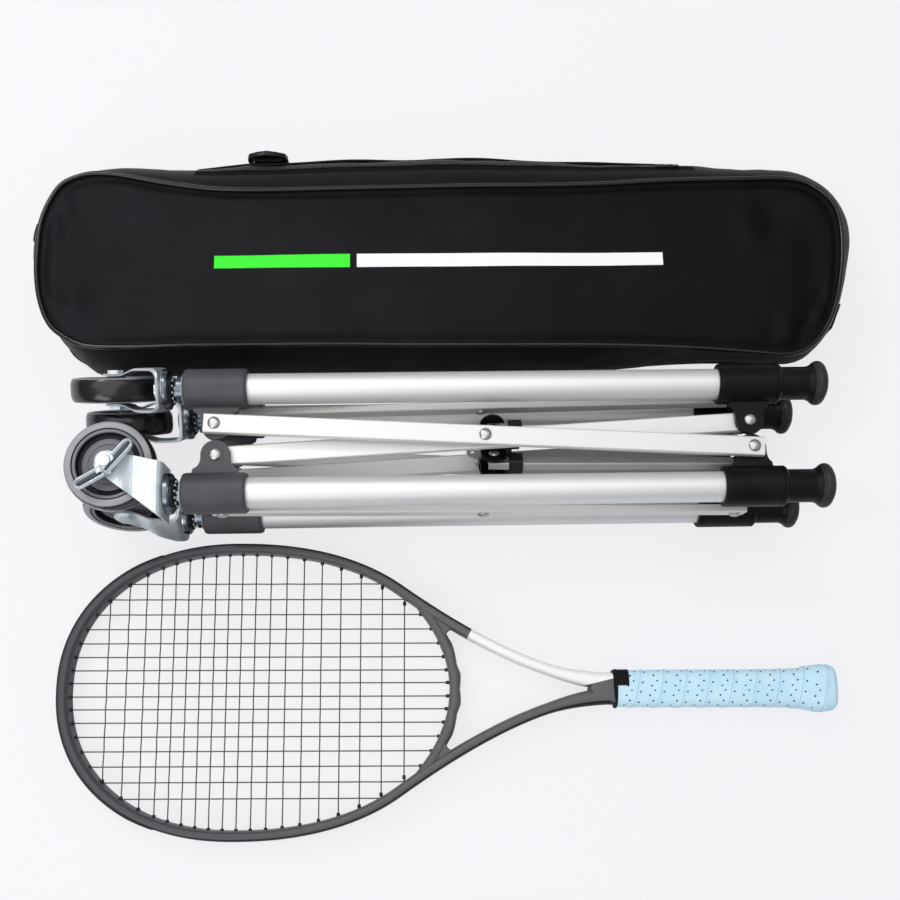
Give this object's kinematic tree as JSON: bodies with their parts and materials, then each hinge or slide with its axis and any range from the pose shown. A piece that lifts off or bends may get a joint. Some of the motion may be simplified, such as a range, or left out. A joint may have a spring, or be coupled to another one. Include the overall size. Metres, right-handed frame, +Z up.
{
  "type": "folding ball cart set",
  "caption": "Folding scissor-frame tennis ball cart on castors, lying folded beside its soft carry bag and a strung racket.",
  "frame": {"origin": "middle of the set on the floor that it lies on", "axes": "+X along the cart legs from the castors to the flanged caps, +Y from the racket to the bag, +Z up"},
  "size_m": [0.757, 0.6263, 0.1387],
  "materials": {
    "leg_aluminium": "satin anodised, bright",
    "bar_aluminium": "satin anodised, bright",
    "bracket_plastic": "moulded, charcoal, fine matt",
    "black_plastic": "moulded, black, satin",
    "zinc_steel": "bright zinc plate",
    "rivet_steel": "polished",
    "wheel_tread": "dark grey-black rubber, satin",
    "racket_graphite": "graphite grey lacquer, satin, with a white upper throat beam",
    "string": "dark grey monofilament",
    "racket_bumper": "black nylon",
    "overgrip": "light blue perforated tape, tacky matt",
    "collar_rubber": "black rubber",
    "bag_fabric": "black coated polyester",
    "bag_webbing": "black webbing",
    "buckle_plastic": "black acetal"
  },
  "bodies": {
    "leg_a": {"leg_a_tube": "leg_aluminium", "bracket_a": "bracket_plastic", "leg_a_fasteners": "zinc_steel", "cap_a": "black_plastic"},
    "slider_a": {"slider_a": "black_plastic", "slider_a_rivets": "rivet_steel"},
    "leg_b": {"leg_b_tube": "leg_aluminium", "bracket_b": "bracket_plastic", "leg_b_fasteners": "zinc_steel", "cap_b": "black_plastic"},
    "slider_b": {"slider_b": "black_plastic", "slider_b_rivets": "rivet_steel"},
    "leg_c": {"leg_c_tube": "leg_aluminium", "bracket_c": "bracket_plastic", "leg_c_fasteners": "zinc_steel", "cap_c": "black_plastic"},
    "slider_c": {"slider_c": "black_plastic", "slider_c_rivets": "rivet_steel"},
    "leg_d": {"leg_d_tube": "leg_aluminium", "bracket_d": "bracket_plastic", "leg_d_fasteners": "zinc_steel", "cap_d": "black_plastic"},
    "slider_d": {"slider_d": "black_plastic", "slider_d_rivets": "rivet_steel"},
    "bar_ab_outer": {"bar_ab_outer": "bar_aluminium", "rivet_ab": "rivet_steel"},
    "bar_ab_inner": {"bar_ab_inner": "bar_aluminium"},
    "bar_cd_outer": {"bar_cd_outer": "bar_aluminium", "rivet_cd": "rivet_steel"},
    "bar_cd_inner": {"bar_cd_inner": "bar_aluminium"},
    "bar_ac_outer": {"bar_ac_outer": "bar_aluminium", "rivet_ac": "rivet_steel"},
    "bar_ac_inner": {"bar_ac_inner": "bar_aluminium"},
    "bar_bd_outer": {"bar_bd_outer": "bar_aluminium", "rivet_bd": "rivet_steel"},
    "bar_bd_inner": {"bar_bd_inner": "bar_aluminium"},
    "arm_a": {"arm_a": "bar_aluminium"},
    "fork_a": {"fork_a": "zinc_steel"},
    "wheel_a": {"wheel_a": "wheel_tread"},
    "arm_b": {"arm_b": "bar_aluminium"},
    "fork_b": {"fork_b": "zinc_steel"},
    "wheel_b": {"wheel_b": "wheel_tread"},
    "arm_c": {"arm_c": "bar_aluminium"},
    "fork_c": {"fork_c": "zinc_steel"},
    "wheel_c": {"wheel_c": "wheel_tread"},
    "arm_d": {"arm_d": "bar_aluminium"},
    "fork_d": {"fork_d": "zinc_steel"},
    "wheel_d": {"wheel_d": "wheel_tread"},
    "hub": {"hub": "black_plastic", "hub_bolt": "rivet_steel"},
    "brake_pedal": {"brake_pedal": "zinc_steel"},
    "racket": {"racket_frame": "racket_graphite", "racket_bridge": "racket_graphite", "racket_strings": "string", "racket_bumper": "racket_bumper", "racket_grip": "overgrip", "racket_collar": "collar_rubber"},
    "bag": {"bag_shell": "bag_fabric", "bag_strap": "bag_webbing", "bag_buckle": "buckle_plastic"}
  },
  "joints": [
    {"name": "fold", "type": "hinge", "parent": "leg_d", "child": "bar_bd_inner", "pos_m": [-0.1939, -0.0294, 0.0578], "axis": [0, -1, 0], "range_deg": [0, 27]},
    {"name": "bd_cross", "type": "hinge", "parent": "bar_bd_inner", "child": "bar_bd_outer", "pos_m": [0.02696, -0.0294, 0.07], "axis": [0, -1, 0], "range_deg": [-54, 0]},
    {"name": "leg_b_pivot", "type": "hinge", "parent": "bar_bd_outer", "child": "leg_b", "pos_m": [-0.1939, -0.0294, 0.0822], "axis": [0, -1, 0], "range_deg": [0, 27]},
    {"name": "slider_d_pivot", "type": "hinge", "parent": "bar_bd_outer", "child": "slider_d", "pos_m": [0.24783, -0.0294, 0.0578], "axis": [0, -1, 0], "range_deg": [0, 27]},
    {"name": "slider_b_pivot", "type": "hinge", "parent": "bar_bd_inner", "child": "slider_b", "pos_m": [0.24783, -0.0294, 0.0822], "axis": [0, -1, 0], "range_deg": [-27, 0]},
    {"name": "cd_pivot", "type": "hinge", "parent": "leg_d", "child": "bar_cd_inner", "pos_m": [-0.1939, 0.004, 0.0244], "axis": [0, 0, 1], "range_deg": [0, 27]},
    {"name": "cd_cross", "type": "hinge", "parent": "bar_cd_inner", "child": "bar_cd_outer", "pos_m": [0.02696, 0.0162, 0.0244], "axis": [0, 0, 1], "range_deg": [-54, 0]},
    {"name": "leg_c_pivot", "type": "hinge", "parent": "bar_cd_outer", "child": "leg_c", "pos_m": [-0.1939, 0.0284, 0.0244], "axis": [0, 0, 1], "range_deg": [0, 27]},
    {"name": "slider_c_pivot", "type": "hinge", "parent": "bar_cd_inner", "child": "slider_c", "pos_m": [0.24783, 0.0284, 0.0244], "axis": [0, 0, 1], "range_deg": [-27, 0]},
    {"name": "ab_pivot", "type": "hinge", "parent": "leg_b", "child": "bar_ab_inner", "pos_m": [-0.1939, 0.004, 0.1156], "axis": [0, 0, 1], "range_deg": [0, 27]},
    {"name": "ab_cross", "type": "hinge", "parent": "bar_ab_inner", "child": "bar_ab_outer", "pos_m": [0.02696, 0.0162, 0.1156], "axis": [0, 0, 1], "range_deg": [-54, 0]},
    {"name": "leg_a_pivot", "type": "hinge", "parent": "bar_ab_outer", "child": "leg_a", "pos_m": [-0.1939, 0.0284, 0.1156], "axis": [0, 0, 1], "range_deg": [0, 27]},
    {"name": "slider_a_pivot", "type": "hinge", "parent": "bar_ab_inner", "child": "slider_a", "pos_m": [0.24783, 0.0284, 0.1156], "axis": [0, 0, 1], "range_deg": [-27, 0]},
    {"name": "ac_pivot", "type": "hinge", "parent": "leg_c", "child": "bar_ac_inner", "pos_m": [-0.1939, 0.0618, 0.0578], "axis": [0, -1, 0], "range_deg": [0, 27]},
    {"name": "ac_cross", "type": "hinge", "parent": "bar_ac_inner", "child": "bar_ac_outer", "pos_m": [0.02696, 0.0618, 0.07], "axis": [0, -1, 0], "range_deg": [-54, 0]},
    {"name": "arm_a_pivot", "type": "hinge", "parent": "slider_a", "child": "arm_a", "pos_m": [0.24783, 0.03418, 0.08798], "axis": [0, -0.7071, 0.7071], "range_deg": [0, 41.31]},
    {"name": "arm_b_pivot", "type": "hinge", "parent": "slider_b", "child": "arm_b", "pos_m": [0.24783, -0.00178, 0.08798], "axis": [0, -0.7071, -0.7071], "range_deg": [0, 41.31]},
    {"name": "arm_c_pivot", "type": "hinge", "parent": "slider_c", "child": "arm_c", "pos_m": [0.24783, 0.03418, 0.05202], "axis": [0, 0.7071, 0.7071], "range_deg": [0, 41.31]},
    {"name": "arm_d_pivot", "type": "hinge", "parent": "slider_d", "child": "arm_d", "pos_m": [0.24783, -0.00178, 0.05202], "axis": [0, 0.7071, -0.7071], "range_deg": [0, 41.31]},
    {"name": "hub_pivot", "type": "hinge", "parent": "arm_d", "child": "hub", "pos_m": [0.0359, 0.00206, 0.05586], "axis": [0, 0.7071, -0.7071], "range_deg": [-41.31, 0]},
    {"name": "swivel_a", "type": "hinge", "parent": "leg_a", "child": "fork_a", "pos_m": [-0.2399, 0.0602, 0.114], "axis": [1, 0, 0], "range_deg": [0, 180]},
    {"name": "wheel_a_spin", "type": "hinge", "parent": "fork_a", "child": "wheel_a", "pos_m": [-0.2829, 0.06824, 0.09192], "axis": [0, 0.9397, 0.342], "continuous": true},
    {"name": "swivel_b", "type": "hinge", "parent": "leg_b", "child": "fork_b", "pos_m": [-0.2359, -0.0278, 0.114], "axis": [1, 0, 0], "range_deg": [0, 190]},
    {"name": "wheel_b_spin", "type": "hinge", "parent": "fork_b", "child": "wheel_b", "pos_m": [-0.2789, -0.0043, 0.114], "axis": [0, 0, 1], "continuous": true},
    {"name": "swivel_c", "type": "hinge", "parent": "leg_c", "child": "fork_c", "pos_m": [-0.2399, 0.0602, 0.026], "axis": [1, 0, 0], "range_deg": [0, 200]},
    {"name": "wheel_c_spin", "type": "hinge", "parent": "fork_c", "child": "wheel_c", "pos_m": [-0.2829, 0.05216, 0.04808], "axis": [0, -0.9397, -0.342], "continuous": true},
    {"name": "swivel_d", "type": "hinge", "parent": "leg_d", "child": "fork_d", "pos_m": [-0.2399, -0.0278, 0.026], "axis": [1, 0, 0], "range_deg": [0, 85]},
    {"name": "wheel_d_spin", "type": "hinge", "parent": "fork_d", "child": "wheel_d", "pos_m": [-0.2829, -0.02172, 0.0487], "axis": [0, -0.9659, 0.2588], "continuous": true},
    {"name": "brake_tilt", "type": "hinge", "parent": "fork_b", "child": "brake_pedal", "pos_m": [-0.2789, -0.0043, 0.1323], "axis": [0, 0, 1], "range_deg": [-12, 0]},
    {"name": "racket_lift", "type": "slide", "parent": "leg_d", "child": "racket", "axis": [0, 0, 1], "range_m": [0, 0.4]},
    {"name": "bag_slide", "type": "slide", "parent": "leg_d", "child": "bag", "axis": [0, 1, 0], "range_m": [0, 0.2149]}
  ],
  "couplings": [
    {"joint": "bd_cross", "follows": "fold", "ratio": -2},
    {"joint": "leg_b_pivot", "follows": "fold", "ratio": 1},
    {"joint": "slider_d_pivot", "follows": "fold", "ratio": 1},
    {"joint": "slider_b_pivot", "follows": "fold", "ratio": -1},
    {"joint": "cd_pivot", "follows": "fold", "ratio": 1},
    {"joint": "cd_cross", "follows": "fold", "ratio": -2},
    {"joint": "leg_c_pivot", "follows": "fold", "ratio": 1},
    {"joint": "slider_c_pivot", "follows": "fold", "ratio": -1},
    {"joint": "ab_pivot", "follows": "fold", "ratio": 1},
    {"joint": "ab_cross", "follows": "fold", "ratio": -2},
    {"joint": "leg_a_pivot", "follows": "fold", "ratio": 1},
    {"joint": "slider_a_pivot", "follows": "fold", "ratio": -1},
    {"joint": "ac_pivot", "follows": "fold", "ratio": 1},
    {"joint": "ac_cross", "follows": "fold", "ratio": -2},
    {"joint": "arm_a_pivot", "follows": "fold", "ratio": 1.53},
    {"joint": "arm_b_pivot", "follows": "fold", "ratio": 1.53},
    {"joint": "arm_c_pivot", "follows": "fold", "ratio": 1.53},
    {"joint": "arm_d_pivot", "follows": "fold", "ratio": 1.53},
    {"joint": "hub_pivot", "follows": "fold", "ratio": -1.53},
    {"joint": "bag_slide", "follows": "fold", "m_per_rad": 0.455}
  ]
}
